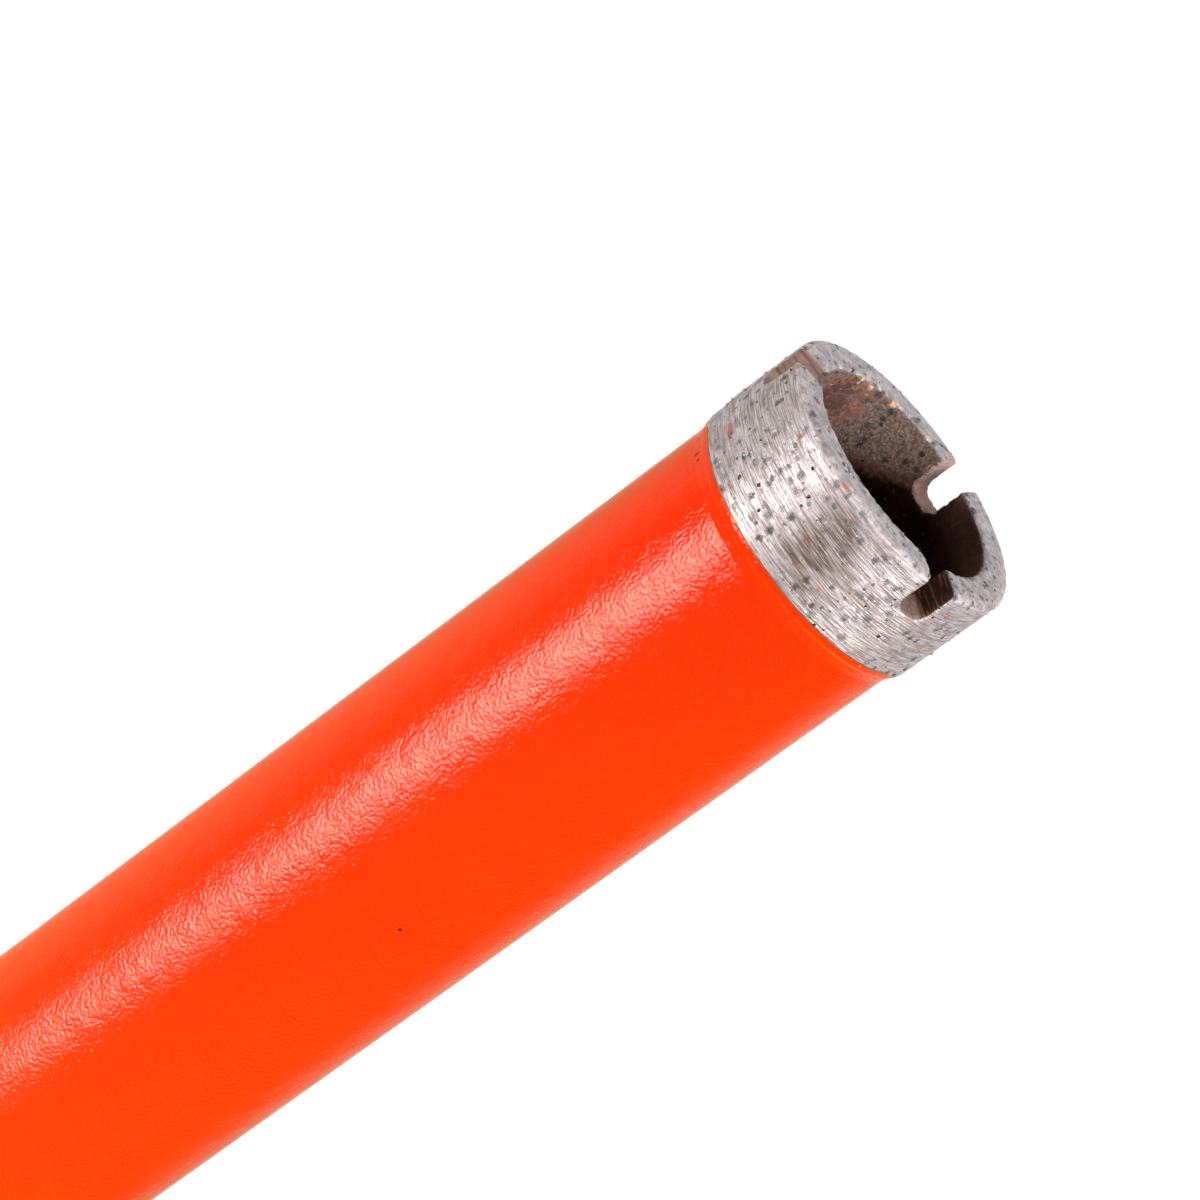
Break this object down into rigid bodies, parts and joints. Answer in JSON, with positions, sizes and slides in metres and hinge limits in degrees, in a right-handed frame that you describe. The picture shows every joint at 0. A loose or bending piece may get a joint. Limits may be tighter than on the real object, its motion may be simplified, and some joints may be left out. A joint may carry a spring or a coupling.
{
  "type": "diamond core bit",
  "caption": "Slim wet-drilling core bit: slotted sintered diamond ring crown on a painted steel barrel, with a threaded hexagon hub.",
  "frame": {"origin": "centre of the hub's open end face, on the tool axis", "axes": "+Z along the tool axis towards the cutting face; +X through the middle of one water slot"},
  "size_m": [0.0474, 0.041, 0.445],
  "materials": {
    "sintered_metal": "ground sintered metal with diamond grit",
    "braze": "dull, partly painted over",
    "orange_paint": "gloss enamel, slight orange peel",
    "bare_steel": "turned steel"
  },
  "bodies": {
    "root": {"crown": "sintered_metal", "braze_ring": "braze", "barrel": "orange_paint", "weld_bead": "orange_paint", "hub": "orange_paint"}
  },
  "joints": []
}
